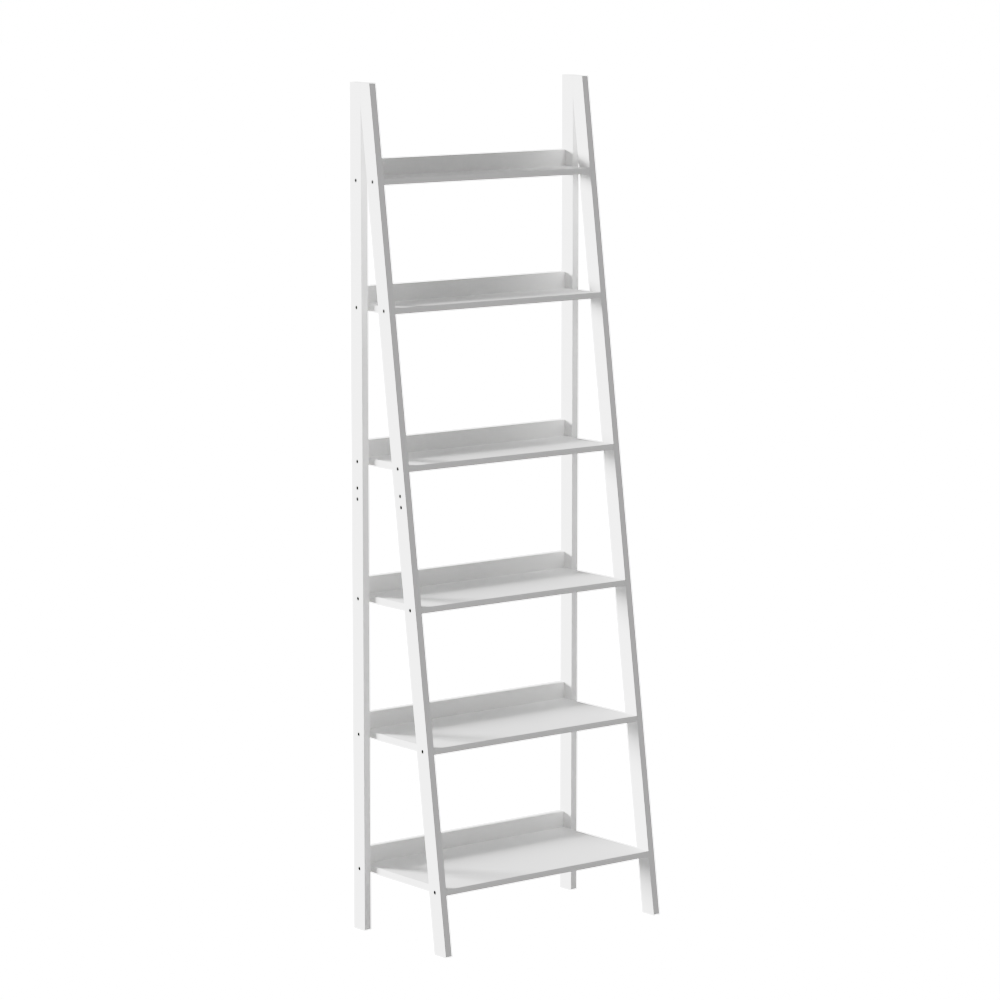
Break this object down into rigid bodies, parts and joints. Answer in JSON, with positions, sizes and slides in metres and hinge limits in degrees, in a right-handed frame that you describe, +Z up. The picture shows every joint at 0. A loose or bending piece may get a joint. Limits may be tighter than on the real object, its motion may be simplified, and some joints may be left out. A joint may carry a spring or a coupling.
{
  "type": "ladder shelf",
  "caption": "Tall lacquered ladder shelf: leaning front posts meet upright rear posts, with shelf boards that get deeper downwards and a low gallery board along the back of each.",
  "frame": {"origin": "on the floor, in the middle of the overall width and depth", "axes": "+X to the right as seen from the front, +Y towards the wall, +Z up"},
  "size_m": [0.65, 0.355, 2],
  "materials": {
    "white_lacquer": "satin white lacquer on wood",
    "black_steel": "black oxide",
    "zinc_steel": "zinc plated"
  },
  "bodies": {
    "root": {"left_front_post_lower": "white_lacquer", "left_front_post_upper": "white_lacquer", "left_rear_post_lower": "white_lacquer", "left_rear_post_upper": "white_lacquer", "right_front_post_lower": "white_lacquer", "right_front_post_upper": "white_lacquer", "right_rear_post_lower": "white_lacquer", "right_rear_post_upper": "white_lacquer", "shelf_1": "white_lacquer", "shelf_2": "white_lacquer", "shelf_3": "white_lacquer", "shelf_4": "white_lacquer", "shelf_5": "white_lacquer", "shelf_6": "white_lacquer", "gallery_1": "white_lacquer", "gallery_2": "white_lacquer", "gallery_3": "white_lacquer", "gallery_4": "white_lacquer", "gallery_5": "white_lacquer", "gallery_6": "white_lacquer", "splice_bolt_left_front_lower": "black_steel", "splice_bolt_left_front_upper": "black_steel", "shelf_screw_left_front_1": "black_steel", "shelf_screw_left_front_2": "black_steel", "shelf_screw_left_front_3": "black_steel", "shelf_screw_left_front_4": "black_steel", "shelf_screw_left_front_5": "black_steel", "shelf_screw_left_front_6": "black_steel", "splice_bolt_left_rear_lower": "black_steel", "splice_bolt_left_rear_upper": "black_steel", "shelf_screw_left_rear_1": "black_steel", "shelf_screw_left_rear_2": "black_steel", "shelf_screw_left_rear_3": "black_steel", "shelf_screw_left_rear_4": "black_steel", "shelf_screw_left_rear_5": "black_steel", "shelf_screw_left_rear_6": "black_steel", "top_screw_left": "black_steel", "splice_bolt_right_front_lower": "black_steel", "splice_bolt_right_front_upper": "black_steel", "shelf_screw_right_front_1": "black_steel", "shelf_screw_right_front_2": "black_steel", "shelf_screw_right_front_3": "black_steel", "shelf_screw_right_front_4": "black_steel", "shelf_screw_right_front_5": "black_steel", "shelf_screw_right_front_6": "black_steel", "splice_bolt_right_rear_lower": "black_steel", "splice_bolt_right_rear_upper": "black_steel", "shelf_screw_right_rear_1": "black_steel", "shelf_screw_right_rear_2": "black_steel", "shelf_screw_right_rear_3": "black_steel", "shelf_screw_right_rear_4": "black_steel", "shelf_screw_right_rear_5": "black_steel", "shelf_screw_right_rear_6": "black_steel", "top_screw_right": "black_steel", "splice_plate_left_front": "zinc_steel", "splice_plate_left_rear": "zinc_steel", "splice_plate_right_front": "zinc_steel", "splice_plate_right_rear": "zinc_steel"}
  },
  "joints": []
}
